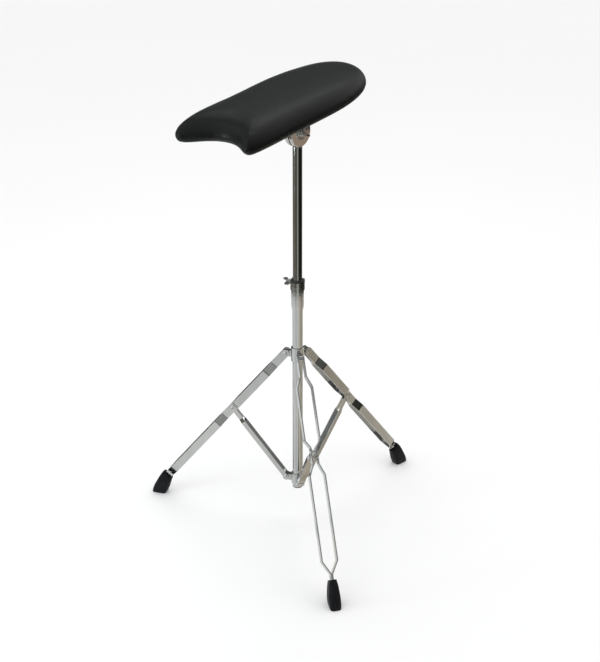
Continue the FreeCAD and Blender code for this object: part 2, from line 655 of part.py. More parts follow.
def tilt_bolt():
    """Hexagon bolt along the tilt axis, its head against the lower disc."""
    head_end = -FRICTION_THICK / 2 - DISC_THICK
    shank = rod(TILT_BOLT_R, TILT_BOLT_END - head_end, V(head_end, 0, 0), X_AXIS)
    corners = [V(0, TILT_HEAD_R * cos(radians(60 * k)), TILT_HEAD_R * sin(radians(60 * k)))
               for k in range(7)]
    head = Part.Face(Part.makePolygon(corners)).extrude(V(-TILT_HEAD_H, 0, 0))
    head.translate(V(head_end, 0, 0))
    return on_tilt_axis(shank.fuse(head))


def tilt_washer():
    """Washer between the upper disc and the wing nut."""
    shape = rod(TILT_WASHER_R, TILT_WASHER_THICK, V(WASHER_START, 0, 0), X_AXIS)
    return on_tilt_axis(shape.cut(rod(TILT_BOLT_R, 4 * TILT_WASHER_R, ORIGIN, X_AXIS)))


def tilt_wing_nut():
    """Wing nut on the tilt bolt."""
    shape = wings(TILT_HUB_R, TILT_HUB_LENGTH, TILT_WING_SPAN, TILT_WING_REACH,
                  TILT_WING_TIP_R, TILT_WING_THICK)
    shape = shape.cut(rod(TILT_BOLT_R + PIN_CLEARANCE, 4 * TILT_WING_SPAN, V(-1, 0, 0), X_AXIS))
    shape.rotate(ORIGIN, X_AXIS, TILT_WING_TURN)
    shape.translate(V(NUT_START, 0, 0))
    return on_tilt_axis(shape)


# --- Seat -----------------------------------------------------------------------------------
def place_seat(shape):
    """From the seat's frame to its pitched place on the tilt axis."""
    moved = shape.copy()
    moved.rotate(ORIGIN, X_AXIS, SEAT_PITCH)
    moved.translate(V(0, 0, PIVOT_Z))
    return moved


def yoke():
    """Upper disc with the neck that carries the seat plate."""
    disc = tilt_disc(UPPER_DISC_START, UPPER_DISC_END)
    stem = block(V(UPPER_DISC_START, -NECK_FOOT[1], 0),
                 V(UPPER_DISC_END, NECK_FOOT[1], NECK_BASE + NECK_OVERLAP))
    top = PLATE_TOP - PLATE_THICK
    wires = []
    for (half_x, half_y), z in ((NECK_FOOT, NECK_BASE), (NECK_HEAD, top)):
        wires.append(rounded_rectangle(V(-half_x, 0, z), V(half_x, 0, z), X_AXIS, half_y,
                                       NECK_CORNER))
    neck = Part.makeLoft(wires, True, True)
    shape = disc.fuse(stem).fuse(neck).removeSplitter()
    return place_seat(shape.cut(rod(TILT_BORE, 4 * DISC_R, V(-DISC_R, 0, 0), X_AXIS)))


def plate_screw_points():
    """The four screws' places, in the seat's frame."""
    return [V(x, y, 0) for x in (-PLATE_SCREW_X, PLATE_SCREW_X)
            for y in (-PLATE_SCREW_Y, PLATE_SCREW_Y)]


def seat_plate():
    """Steel plate under the pad."""
    low = PLATE_TOP - PLATE_THICK
    wire = rounded_rectangle(V(-PLATE_WIDTH / 2, 0, low), V(PLATE_WIDTH / 2, 0, low), X_AXIS,
                             PLATE_LENGTH / 2, PLATE_CORNER)
    shape = Part.Face(wire).extrude(V(0, 0, PLATE_THICK))
    for point in plate_screw_points():
        shape = shape.cut(rod(PLATE_SCREW_R, PAD_BOTTOM, point))
    return place_seat(shape)


def plate_screws():
    """Pan-head screws up through the plate into the board's tee nuts."""
    head_top = PLATE_TOP - PLATE_THICK
    screws = []
    for point in plate_screw_points():
        shank = rod(PLATE_SCREW_R, SCREW_LENGTH, point + V(0, 0, head_top))
        head = turned([
            V(0, 0, -SCREW_HEAD_H), V(SCREW_HEAD_R * HEAD_FLAT, 0, -SCREW_HEAD_H),
            V(SCREW_HEAD_R, 0, -SCREW_HEAD_H * HEAD_EDGE), V(SCREW_HEAD_R, 0, 0), V(0, 0, 0),
        ])
        head.translate(point + V(0, 0, head_top))
        screws.append(shank.fuse(head))
    return place_seat(Part.makeCompound(screws))


def tee_nuts():
    """Tee nuts pressed into the top of the board."""
    board_low = PAD_BOTTOM + BOARD_GAP
    nuts = []
    for point in plate_screw_points():
        barrel = rod(TEE_BARREL_R, BOARD_THICK, point + V(0, 0, board_low))
        flange = rod(TEE_NUT_R, TEE_FLANGE, point + V(0, 0, board_low + BOARD_THICK))
        nuts.append(barrel.fuse(flange).cut(rod(PLATE_SCREW_R, 2 * PAD_BOTTOM, point)))
    return place_seat(Part.makeCompound(nuts))


def outline_points():
    """Points round the pad's outline at its widest, from the notch's middle by way of +X."""
    back = -PAD_BACK
    side = [
        (FLANK_X * HALF_LOBES, back + FLANK_Y * NOTCH_DEPTH),
        (TIP_X * HALF_LOBES, back),
        (HALF_LOBES, back + LOBE_SIDE * (PAD_FRONT + PAD_BACK)),
        (HALF_WAIST, WAIST_Y),
        (HALF_NOSE, NOSE_START * PAD_FRONT),
        (NOSE_X * HALF_NOSE, NOSE_Y * PAD_FRONT),
    ]
    changes = [(FLANK_OUT, LOBE_SHORT / 2), (TIP_OUT, LOBE_SHORT), (SIDE_OUT, LOBE_SHORT)]
    near = [V(x + out, y + less, 0) for (x, y), (out, less) in zip(side, changes)]
    right = near + [V(x, y, 0) for x, y in side[len(near):]]
    left = [V(-x, y, 0) for x, y in reversed(side)]
    return [V(0, back + NOTCH_DEPTH, 0)] + right + [V(0, PAD_FRONT, 0)] + left


def smooth_wire(points):
    """Closed smooth curve through points."""
    curve = Part.BSplineCurve()
    curve.interpolate(Points=points, PeriodicFlag=True)
    return Part.Wire(curve.toShape())


def pad_outline(inset, z):
    """The pad's outline at height z, drawn in by inset."""
    middle = V(0, (PAD_FRONT - PAD_BACK) / 2, 0)
    points = []
    for point in outline_points():
        arm = point - middle
        points.append(middle + arm * (1 - inset / arm.Length) + V(0, 0, z))
    return smooth_wire(points)


def crown_outline(keep, z):
    """Oval inside the pad's outline, for the crowned top."""
    half_length = (PAD_FRONT + PAD_BACK) / 2
    middle = V(0, (PAD_FRONT - PAD_BACK) / 2, 0)
    points = []
    for point in outline_points():
        arm = point - middle
        way = arm / arm.Length
        reach = keep / hypot(way.x / HALF_WAIST, way.y / half_length)
        points.append(middle + way * reach + V(0, 0, z))
    return smooth_wire(points)


def pad_solid(shrink):
    """Crowned pad with rounded sides, made smaller all round by shrink."""
    low = PAD_BOTTOM + shrink
    rim = PAD_THICK - 2 * shrink
    wires = []
    for height, drawn_in in PAD_SIDE:
        wires.append(pad_outline(drawn_in * PAD_ROUND + shrink, low + height * rim))
    for keep, rise in PAD_TOP:
        height = low + rim - shrink / 2 + rise * PAD_CROWN
        wires.append(crown_outline(keep - CROWN_PULL * shrink, height))
    return Part.makeLoft(wires, True, False)


def flat_outline_solid(inset, low, high):
    """Plate with the pad's outline."""
    return Part.Face(pad_outline(inset, low)).extrude(V(0, 0, high - low))


def seat_pieces():
    """Board, foam, cover and bottom cloth, in the seat's frame."""
    low = PAD_BOTTOM + BOARD_GAP
    board = flat_outline_solid(BOARD_INSET, low, low + BOARD_THICK)
    inner = pad_solid(SKIN)
    opening = flat_outline_solid(BOARD_INSET + HEM_WIDTH, PAD_BOTTOM - 1, low)
    cover = pad_solid(0.0).cut(inner).cut(opening)
    foam = inner.cut(flat_outline_solid(BOARD_INSET, PAD_BOTTOM - 1, low + BOARD_THICK))
    cloth_low = PLATE_TOP + CLOTH_GAP
    cloth = flat_outline_solid(CLOTH_INSET, cloth_low, cloth_low + CLOTH_THICK)
    for point in plate_screw_points():
        board = board.cut(rod(TEE_BARREL_R, 2 * PAD_BOTTOM, point))
        foam = foam.cut(rod(TEE_NUT_R, TEE_FLANGE, point + V(0, 0, low + BOARD_THICK)))
        cloth = cloth.cut(rod(PLATE_SCREW_R, 2 * PAD_BOTTOM, point))
    return {
        "seat_board": place_seat(board),
        "seat_foam": place_seat(foam),
        "seat_cover": place_seat(cover),
        "bottom_cloth": place_seat(cloth),
    }


# --- Assembly -------------------------------------------------------------------------------
def leg_nodes(number, azimuth):
    """The separate pieces of one leg."""
    left = leg_strip()
    right = left.mirror(ORIGIN, Y_AXIS)
    strips = [place_on_leg(left), place_on_leg(right)]
    mid_rivet = rivet(PINCH_GAP / 2 + STRIP_THICK)
    mid_rivet.translate(V(LINK, 0, 0))
    tip_rivet = rivet(STRIP_THICK, TIP_RIVET_R, TIP_HEAD_R, TIP_HEAD_H)
    tip_rivet.translate(V(TIP_RIVET, 0, 0))
    pieces = {
        "leg_strip_left": strips[0],
        "leg_strip_right": strips[1],
        "leg_mid_rivet": place_on_leg(mid_rivet),
        "leg_tip_rivet": place_on_leg(tip_rivet),
        "rubber_foot": foot(strips),
        "brace": brace(),
    }
    return {f"{name}_{number}": around_pole(shape, azimuth) for name, shape in pieces.items()}


def pivot_rivets(pivot_z, half_grip):
    """The three rivets of a collar."""
    shape = rivet(half_grip)
    shape.translate(V(PIVOT_RADIUS, 0, pivot_z))
    return for_each_leg(shape)


def build():
    """Every node of the throne."""
    nodes = {
        "base_tube": base_tube(),
        "base_plug": base_plug(),
        "lower_collar": lower_collar(),
        "lower_collar_pin": collar_pin(),
        "lower_pivot_rivets": pivot_rivets(
            LOWER_PIVOT_Z, BRACE_INNER + BRACE_SHEET + SIDE_CLEARANCE),
        "upper_collar": upper_collar(),
        "upper_pivot_rivets": pivot_rivets(
            UPPER_PIVOT_Z, PINCH_GAP / 2 + STRIP_THICK + SIDE_CLEARANCE),
        "collar_lock_screw": collar_lock_screw(),
        "clamp_sleeve": clamp_sleeve(),
        "clamp_bushing": clamp_bushing(),
        "height_clamp": height_clamp(),
        "clamp_bolt": clamp_bolt(),
        "clamp_wing_nut": clamp_wing_nut(),
        "upper_tube": upper_tube(),
        "tilter_socket": tilter_socket(),
        "retainer_screw": retainer_screw(),
        "friction_disc": friction_disc(),
        "tilt_bolt": tilt_bolt(),
        "tilt_washer": tilt_washer(),
        "tilt_wing_nut": tilt_wing_nut(),
        "tilter_yoke": yoke(),
        "seat_plate": seat_plate(),
        "plate_screws": plate_screws(),
        "tee_nuts": tee_nuts(),
    }
    nodes.update(seat_pieces())
    for number, azimuth in enumerate(LEG_AZIMUTHS, 1):
        nodes.update(leg_nodes(number, azimuth))
    return nodes


os.makedirs("parts", exist_ok=True)
for name, shape in build().items():
    shape.exportStep(f"parts/{name}.step")
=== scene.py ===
"""Looks for the drum throne: upholstered pad, chromed stand, rubber feet, studio, camera."""
import json
from math import cos, pi, radians, sin, tan

import bmesh
import bpy
import numpy as np
from mathutils import Matrix, Vector


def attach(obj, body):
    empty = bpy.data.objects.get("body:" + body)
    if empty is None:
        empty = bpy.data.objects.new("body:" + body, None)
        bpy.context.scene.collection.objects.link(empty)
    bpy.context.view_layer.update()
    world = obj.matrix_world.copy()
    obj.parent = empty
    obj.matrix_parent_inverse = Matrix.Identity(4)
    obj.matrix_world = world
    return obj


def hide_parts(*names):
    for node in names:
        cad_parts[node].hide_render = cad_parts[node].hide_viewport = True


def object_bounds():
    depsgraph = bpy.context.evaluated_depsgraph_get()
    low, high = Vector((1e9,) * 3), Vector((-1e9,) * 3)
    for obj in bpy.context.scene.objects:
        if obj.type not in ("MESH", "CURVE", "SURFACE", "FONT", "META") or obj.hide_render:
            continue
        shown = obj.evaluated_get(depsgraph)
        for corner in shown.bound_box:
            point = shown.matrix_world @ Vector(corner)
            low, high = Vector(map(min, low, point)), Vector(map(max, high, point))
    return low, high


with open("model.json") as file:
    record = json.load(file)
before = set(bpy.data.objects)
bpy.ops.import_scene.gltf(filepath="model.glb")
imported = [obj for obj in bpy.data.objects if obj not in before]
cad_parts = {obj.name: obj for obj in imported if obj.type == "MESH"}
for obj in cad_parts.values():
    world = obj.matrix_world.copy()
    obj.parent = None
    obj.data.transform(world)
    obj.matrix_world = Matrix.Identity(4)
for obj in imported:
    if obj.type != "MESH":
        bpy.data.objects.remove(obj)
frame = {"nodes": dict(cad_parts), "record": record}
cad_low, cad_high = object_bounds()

SCENE = bpy.context.scene

# --- Camera -----------------------------------------------------------------------------------
CAMERA_AZIMUTH = 40.96         # degrees; 0 looks along +Y, 90 along -X
CAMERA_DISTANCE = 2.281        # from the pole's axis, along the floor
CAMERA_HEIGHT = 1.5455
CAMERA_PITCH = 25.609          # degrees down
CAMERA_YAW = 0.1256            # degrees to the right of the pole
CAMERA_LENS = 66.59            # millimetres, as is the sensor
CAMERA_SENSOR = 36.0
CAMERA_REACH = 100.0

# --- Studio -----------------------------------------------------------------------------------
FLOOR_RADIUS = 14.0
BOARD_RADIUS = 1.22            # the reflector board, which shows only in reflections
DISC_SIDES = 96

# --- Pad, in metres: y along it, z above the tilt axis ----------------------------------------
SEAT_PITCH = 7.5               # degrees, round end up
PAD_BOTTOM = 0.0496
PAD_OFFSET = PAD_BOTTOM * tan(radians(SEAT_PITCH))    # puts the pad's middle on the pole
PAD_BACK = 0.2495 - PAD_OFFSET                        # from the tilt axis to the lobes' tips
PAD_FRONT = 0.1695 + PAD_OFFSET                       # from the tilt axis to the round end
HALF_LENGTH = (PAD_BACK + PAD_FRONT) / 2
PAD_MIDDLE = (PAD_FRONT - PAD_BACK) / 2
NOTCH_DEPTH = 0.040
HALF_LOBES = 0.090
HALF_WAIST = 0.096
HALF_NOSE = 0.0825
FLANK_X = 0.42                 # of HALF_LOBES, half way up the notch's side
FLANK_Y = 0.58                 # of NOTCH_DEPTH, at the same place
TIP_X = 0.87                   # of HALF_LOBES, at a lobe's tip
LOBE_SIDE = 0.06               # of the pad's length, from the tip to the lobe's side
NOSE_START = 0.58              # of PAD_FRONT, where the round end starts
NOSE_X = 0.55                  # of HALF_NOSE, part way round the end
NOSE_Y = 0.91                  # of PAD_FRONT, at the same place
WAIST_Y = -0.103               # where the pad is widest
LOBE_SHORT = 0.016             # the +X lobe ends this much short of the other
FLANK_OUT = 0.014              # its notch side lies this much further out
TIP_OUT = 0.008                # and its tip
SIDE_OUT = 0.003               # and its outer side
PAD_THICK = 0.0380             # at the rim, before the crown
PAD_CROWN = 0.0110
PAD_ROUND = 0.030              # the top edge's roundover
PAD_UNDER = 0.015              # drawn in at the underside
PAD_WIDEST = 0.38              # share of PAD_THICK
CROWN_REACH = 0.080            # the crown is full this far from the edge
NOTCH_ROUND = 0.017            # the edge is tighter in the notch
NOTCH_CROWN = 0.048            # and the crown rises sooner behind it
NOTCH_REACH = 0.100            # from the notch's middle, where both are back to normal

# --- Pad mesh ---------------------------------------------------------------------------------
SPLINE_STEP = 0.01             # of the way from one outline point to the next
OUTLINE_STEPS = 240
FINE_STEPS = 1200              # for measuring distances to the edge
UNDER_RINGS = (0.25, 0.5, 0.7, 0.85)    # across the underside, shares of its reach
RIM_RINGS = 8                  # round the lower edge
EDGE_RINGS = 17                # round the top edge
EDGE_BAND = 0.045              # where they lie, closer together towards the edge
TOP_RINGS = 22                 # from there to the middle
PAD_VOXEL = 0.0045
EVEN_FACTOR = 0.5
EVEN_ROUNDS = 5

# --- Pad filling: cloth under pressure --------------------------------------------------------
CLOTH_FRAMES = 20
CLOTH_QUALITY = 5
CLOTH_PRESSURE = 4.0
CLOTH_MASS = 0.3
CLOTH_STRETCH = 20.0
CLOTH_BEND = 2.0
SWELL_ROOM = 0.0008            # the pad starts this much smaller and swells
SWELL_CAP = 0.0018
SWELL_EASE = 14                # rounds of evening out
SINK_CAP = 0.0004              # foam keeps the vinyl from sinking in

# --- Staples ----------------------------------------------------------------------------------
STAPLE_INSET = 0.0415
STAPLE_PITCH = 0.021
STAPLE_LENGTH = 0.0105
STAPLE_THICK = 0.0007
STAPLE_WIDE = 1.6              # of its thickness
STAPLE_BEVEL = 0.25            # of its thickness
LINING_UNDER = 0.0009          # the bottom cloth's lower face, below the pad's underside


# --- Node helpers -----------------------------------------------------------------------------
MIX_FIRST, MIX_SECOND, MIX_RESULT = 6, 7, 2    # the Mix node's colour sockets


def rgba(colour):
    """A grey level or three channels, with full alpha."""
    channels = (colour,) * 3 if isinstance(colour, float) else colour
    return (*channels, 1.0)


class Graph:
    """A node tree with short calls to add and join nodes."""

    def __init__(self, tree):
        self.tree = tree
        self.nodes = tree.nodes
        self.nodes.clear()

    def feed(self, socket, value):
        if isinstance(value, bpy.types.NodeSocket):
            self.tree.links.new(value, socket)
        else:
            socket.default_value = value

    def feed_all(self, node, inputs):
        for name, value in inputs.items():
            self.feed(node.inputs[name], value)

    def add(self, kind, inputs=None, **settings):
        node = self.nodes.new(kind)
        for name, value in settings.items():
            setattr(node, name, value)
        self.feed_all(node, inputs or {})
        return node

    def math(self, operation, first, second):
        node = self.add("ShaderNodeMath", operation=operation)
        self.feed(node.inputs[0], first)
        self.feed(node.inputs[1], second)
        return node.outputs[0]

    def ramp(self, value, stops, interpolation="LINEAR"):
        node = self.add("ShaderNodeValToRGB", {"Fac": value})
        ramp = node.color_ramp
        ramp.interpolation = interpolation
        while len(ramp.elements) < len(stops):
            ramp.elements.new(0.5)
        for element, (place, colour) in zip(ramp.elements, stops):
            element.position = place
            element.color = rgba(colour)
        return node.outputs["Color"]

    def span(self, value, low, high):
        """value from 0..1 to low..high."""
        node = self.add("ShaderNodeMapRange", {"Value": value, "To Min": low, "To Max": high})
        return node.outputs["Result"]

    def mix(self, factor, first, second, blend="MIX"):
        node = self.add("ShaderNodeMix", data_type="RGBA", blend_type=blend)
        self.feed(node.inputs["Factor"], factor)
        for socket, value in ((MIX_FIRST, first), (MIX_SECOND, second)):
            self.feed(node.inputs[socket], rgba(value) if isinstance(value, tuple) else value)
        return node.outputs[MIX_RESULT]

    def place(self, scale=(1.0, 1.0, 1.0)):
        """Object coordinates in metres, stretched by scale."""
        coordinates = self.add("ShaderNodeTexCoord").outputs["Object"]
        node = self.add("ShaderNodeMapping", {"Vector": coordinates, "Scale": scale})
        return node.outputs["Vector"]

    def noise(self, vector, scale, detail=3.0, roughness=0.5, output="Fac"):
        node = self.add("ShaderNodeTexNoise", {"Vector": vector, "Scale": scale,
                                               "Detail": detail, "Roughness": roughness})
        return node.outputs[output]

    def bump(self, height, strength, distance, normal=None):
        node = self.add("ShaderNodeBump", {"Height": height, "Strength": strength,
                                           "Distance": distance})
        if normal is not None:
            self.feed(node.inputs["Normal"], normal)
        return node.outputs["Normal"]

    def turn(self, sine, cosine):
        """The angle of a direction in a plane, from 0 to 1."""
        angle = self.math("ARCTAN2", sine, cosine)
        return self.math("ADD", self.math("DIVIDE", angle, 2 * pi), 0.5)


def new_material(name):
    material = bpy.data.materials.new(name)
    material.use_nodes = True
    graph = Graph(material.node_tree)
    shader = graph.add("ShaderNodeBsdfPrincipled")
    graph.add("ShaderNodeOutputMaterial", {"Surface": shader.outputs[0]})
    return material, graph, shader


# --- Materials --------------------------------------------------------------------------------
def chrome():
    """Polished plating: faint orange peel, hazy smears, hairline scratches."""
    material, graph, shader = new_material("chrome_plate")
    smear = graph.noise(graph.place((1, 1, 0.35)), scale=26.0, detail=4.0, roughness=0.6)
    hair = graph.noise(graph.place((9, 9, 0.7)), scale=95.0, detail=2.0)
    scratch = graph.ramp(hair, [(0.30, 1.0), (0.36, 0.0)])
    peel = graph.noise(graph.place(), scale=240.0, detail=2.0)
    graph.feed_all(shader, {
        "Base Color": graph.ramp(smear, [(0.30, (0.50, 0.50, 0.485)),
                                         (0.70, (0.58, 0.585, 0.58))]),
        "Metallic": 1.0,
        "Roughness": graph.math("ADD", graph.span(smear, 0.035, 0.13),
                                graph.math("MULTIPLY", scratch, 0.10)),
        "Normal": graph.bump(peel, strength=0.10, distance=0.0002),
    })
    return material


def zinc_steel():
    """Turned and plated fasteners: fine rings, dull patches."""
    material, graph, shader = new_material("zinc_steel")
    patch = graph.noise(graph.place(), scale=180.0, detail=4.0)
    turning = graph.noise(graph.place((1, 1, 6)), scale=900.0, detail=2.0)
    graph.feed_all(shader, {
        "Base Color": graph.ramp(patch, [(0.3, (0.50, 0.51, 0.52)), (0.75, (0.68, 0.69, 0.69))]),
        "Metallic": 1.0,
        "Roughness": graph.span(patch, 0.16, 0.36),
        "Normal": graph.bump(turning, strength=0.12, distance=0.0001),
    })
    return material


def plated_casting():
    """Chrome over a die casting: the metal below is a little uneven."""
    material, graph, shader = new_material("plated_casting")
    skin = graph.noise(graph.place(), scale=130.0, detail=4.0)
    pits = graph.noise(graph.place(), scale=900.0, detail=2.0)
    fine = graph.bump(pits, strength=0.08, distance=0.0001)
    graph.feed_all(shader, {
        "Base Color": graph.ramp(skin, [(0.3, (0.58, 0.58, 0.57)), (0.7, (0.72, 0.72, 0.71))]),
        "Metallic": 1.0,
        "Roughness": graph.span(skin, 0.08, 0.24),
        "Normal": graph.bump(skin, strength=0.12, distance=0.0006, normal=fine),
    })
    return material


def rubber():
    """Moulded rubber: satin, dusty in patches, with a fine pebbled skin."""
    material, graph, shader = new_material("foot_rubber")
    dust = graph.noise(graph.place(), scale=60.0, detail=5.0, roughness=0.65)
    grain = graph.noise(graph.place(), scale=1400.0, detail=2.0)
    graph.feed_all(shader, {
        "Base Color": graph.ramp(dust, [(0.35, (0.004, 0.0045, 0.006)),
                                        (0.75, (0.010, 0.011, 0.013))]),
        "Roughness": graph.span(dust, 0.42, 0.62),
        "Specular IOR Level": 0.14,
        "Normal": graph.bump(grain, strength=0.25, distance=0.0002),
    })
    return material


def nylon():
    """Moulded black nylon."""
    material, graph, shader = new_material("black_nylon")
    flow = graph.noise(graph.place(), scale=90.0, detail=3.0)
    grain = graph.noise(graph.place(), scale=2200.0, detail=2.0)
    graph.feed_all(shader, {
        "Base Color": graph.ramp(flow, [(0.3, (0.012, 0.012, 0.013)),
                                        (0.8, (0.026, 0.026, 0.028))]),
        "Roughness": graph.span(flow, 0.34, 0.5),
        "Normal": graph.bump(grain, strength=0.15, distance=0.0001),
    })
    return material


def powder_coat():
    """Black powder coat on pressed steel, worn to a greyer tone in places."""
    material, graph, shader = new_material("black_powder_coat")
    wear = graph.noise(graph.place(), scale=40.0, detail=5.0, roughness=0.7)
    peel = graph.noise(graph.place(), scale=700.0, detail=2.0)
    graph.feed_all(shader, {
        "Base Color": graph.ramp(wear, [(0.35, (0.012, 0.012, 0.013)),
                                        (0.8, (0.034, 0.034, 0.035))]),
        "Roughness": graph.span(wear, 0.32, 0.52),
        "Normal": graph.bump(peel, strength=0.3, distance=0.0002),
    })
    return material


def fibre():
    """Pressed fibre of the friction disc."""
    material, graph, shader = new_material("pressed_fibre")
    fleck = graph.noise(graph.place(), scale=700.0, detail=4.0, roughness=0.7)
    graph.feed_all(shader, {
        "Base Color": graph.ramp(fleck, [(0.35, (0.10, 0.06, 0.04)), (0.7, (0.26, 0.17, 0.11))]),
        "Roughness": graph.span(fleck, 0.6, 0.85),
        "Normal": graph.bump(fleck, strength=0.3, distance=0.0002),
    })
    return material


def plywood():
    """Birch plywood: long streaks of grain, and a slow change of tone."""
    material, graph, shader = new_material("birch_plywood")
    grain = graph.noise(graph.place((1, 0.06, 1)), scale=260.0, detail=5.0, roughness=0.6)
    tone = graph.noise(graph.place((1, 0.2, 1)), scale=14.0, detail=3.0)
    face = graph.ramp(grain, [(0.35, (0.42, 0.27, 0.14)), (0.7, (0.62, 0.45, 0.27))])
    graph.feed_all(shader, {
        "Base Color": graph.mix(graph.span(tone, 0.0, 0.5), face, (0.50, 0.34, 0.19)),
        "Roughness": graph.span(grain, 0.5, 0.7),
        "Normal": graph.bump(grain, strength=0.25, distance=0.0003),
    })
    return material


def foam():
    """Open-cell foam."""
    material, graph, shader = new_material("open_cell_foam")
    cells = graph.add("ShaderNodeTexVoronoi", {"Vector": graph.place(), "Scale": 700.0})
    wall = cells.outputs["Distance"]
    graph.feed_all(shader, {
        "Base Color": graph.ramp(wall, [(0.1, (0.42, 0.36, 0.20)), (0.6, (0.72, 0.64, 0.42))]),
        "Roughness": graph.span(wall, 0.8, 0.95),
    })
    return material


def vinyl():
    """Black upholstery vinyl: leather grain with painted shade in its grooves, soft sheen,
    slight polish where it is sat on.
    """
    material, graph, shader = new_material("black_vinyl")
    place = graph.place()
    wander = graph.noise(place, scale=380.0, detail=2.0, output="Color")
    bent = graph.mix(0.0012, place, wander, blend="ADD")
    cell = graph.add("ShaderNodeTexVoronoi", {"Vector": bent, "Scale": 520.0},
                     feature="DISTANCE_TO_EDGE")
    pebble = graph.ramp(cell.outputs["Distance"], [(0.0, 0.0), (0.22, 1.0)], "EASE")
    pores = graph.noise(place, scale=2600.0, detail=2.0)
    fold = graph.noise(place, scale=55.0, detail=4.0, roughness=0.55)
    worn = graph.noise(graph.place((1.0, 0.6, 1.0)), scale=9.0, detail=3.0, roughness=0.6)
    skin = graph.ramp(worn, [(0.3, (0.0035, 0.005, 0.0042)), (0.8, (0.007, 0.009, 0.008))])
    fine = graph.bump(pebble, strength=0.35, distance=0.00018)
    graph.feed_all(shader, {
        # painted shade: the grain's grooves, where pebble is low, are mixed towards a darker
        # colour
        "Base Color": graph.mix(graph.span(pebble, 0.25, 1.0), (0.0015, 0.002, 0.0018), skin),
        "Roughness": graph.math("ADD", graph.span(worn, 0.36, 0.47),
                                graph.span(pores, -0.04, 0.06)),
        "Specular IOR Level": 0.22,
        "Coat Weight": 0.07,
        "Coat Roughness": 0.24,
        "Sheen Weight": 0.015,
        "Sheen Roughness": 0.45,
        "Sheen Tint": rgba((0.80, 0.95, 0.88)),
        "Normal": graph.bump(fold, strength=0.10, distance=0.002, normal=fine),
    })
    return material


def lining():
    """Black non-woven bottom cloth: matted fibres."""
    material, graph, shader = new_material("bottom_cloth")
    matted = graph.noise(graph.place((1, 0.25, 1)), scale=900.0, detail=5.0, roughness=0.75)
    cross = graph.noise(graph.place((0.25, 1, 1)), scale=900.0, detail=5.0, roughness=0.75)
    felt = graph.math("MULTIPLY", matted, cross)
    graph.feed_all(shader, {
        "Base Color": graph.ramp(felt, [(0.12, (0.008, 0.008, 0.009)),
                                        (0.45, (0.05, 0.05, 0.052))]),
        "Roughness": graph.span(felt, 0.85, 1.0),
        "Normal": graph.bump(felt, strength=0.6, distance=0.0005),
    })
    return material


FINISHES = {
    "chrome": chrome(),
    "bright_steel": zinc_steel(),
    "plated_casting": plated_casting(),
    "rubber": rubber(),
    "black_nylon": nylon(),
    "black_steel": powder_coat(),
    "fibre": fibre(),
    "plywood": plywood(),
    "foam": foam(),
    "vinyl": vinyl(),
    "lining": lining(),
}


def finish_nodes():
    """Every CAD node gets the finish of its material slot."""
    for part in frame["record"]["subparts"]:
        node = frame["nodes"][part["node"]]
        finish = FINISHES[part["material_slot"]]
        if not node.material_slots:
            node.data.materials.append(finish)
        for slot in node.material_slots:
            slot.material = finish


# --- Pad --------------------------------------------------------------------------------------
def seat_frame():
    """From the pad's own axes to the world."""
    joints = frame["record"]["behaviour"]["joints"]
    pivot = next(joint["pos_m"] for joint in joints if joint["name"] == "seat_tilt")
    return Matrix.Translation(pivot) @ Matrix.Rotation(radians(SEAT_PITCH), 4, "X")


def link_piece(name, mesh, slot_name):
    """A piece that rides on the seat, shaded smooth, with its slot's finish."""
    piece = bpy.data.objects.new(name, mesh)
    SCENE.collection.objects.link(piece)
    mesh.materials.clear()
    mesh.materials.append(FINISHES[slot_name])
    for face in mesh.polygons:
        face.use_smooth = True
    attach(piece, "seat")
    return piece


def mesh_from(shape, name):
    """The bmesh shape as a mesh; the shape is freed."""
    mesh = bpy.data.meshes.new(name)
    shape.to_mesh(mesh)
    shape.free()
    return mesh


def closed_curve(points, steps):
    """Evenly spaced points on the smooth closed curve through points."""
    points = np.array(points)
    count = len(points)
    gaps = np.linalg.norm(np.roll(points, -1, 0) - points, axis=1)
    before = np.roll(gaps, 1)
    slopes = (np.roll(points, -1, 0) - points) / gaps[:, None]
    system = np.zeros((count, count))
    for k in range(count):
        system[k, k - 1] += before[k]
        system[k, k] += 2 * (before[k] + gaps[k])
        system[k, (k + 1) % count] += gaps[k]
    bends = np.linalg.solve(system, 6 * (slopes - np.roll(slopes, 1, 0)))
    dense = []
    for k in range(count):
        after = (k + 1) % count
        gap = gaps[k]
        for way in np.arange(0.0, 1.0, SPLINE_STEP):
            a, b = 1 - way, way
            dense.append(a * points[k] + b * points[after] + gap * gap / 6
                         * ((a ** 3 - a) * bends[k] + (b ** 3 - b) * bends[after]))
    dense = np.array(dense)
    lengths = np.linalg.norm(np.roll(dense, -1, 0) - dense, axis=1)
    along = np.concatenate([[0.0], np.cumsum(lengths)])
    closed = np.vstack([dense, dense[:1]])
    wanted = np.arange(steps) * along[-1] / steps
    return np.stack([np.interp(wanted, along, closed[:, k]) for k in range(2)], axis=1)


def pad_points():
    """Points round the pad's outline, from the notch's middle by way of +X."""
    back = -PAD_BACK
    side = [
        (FLANK_X * HALF_LOBES, back + FLANK_Y * NOTCH_DEPTH),
        (TIP_X * HALF_LOBES, back),
        (HALF_LOBES, back + LOBE_SIDE * 2 * HALF_LENGTH),
        (HALF_WAIST, WAIST_Y),
        (HALF_NOSE, NOSE_START * PAD_FRONT),
        (NOSE_X * HALF_NOSE, NOSE_Y * PAD_FRONT),
    ]
    changes = [(FLANK_OUT, LOBE_SHORT / 2), (TIP_OUT, LOBE_SHORT), (SIDE_OUT, LOBE_SHORT)]
    near = [(x + out, y + less) for (x, y), (out, less) in zip(side, changes)]
    right = near + side[len(near):]
    left = [(-x, y) for x, y in reversed(side)]
    return [(0.0, back + NOTCH_DEPTH)] + right + [(0.0, PAD_FRONT)] + left


def drawn_in(outline, inset):
    """The outline moved towards the pad's middle by inset."""
    middle = np.array([0.0, PAD_MIDDLE])
    arms = outline - middle
    reach = np.linalg.norm(arms, axis=1)
    return middle + arms * (1 - inset / reach)[:, None]


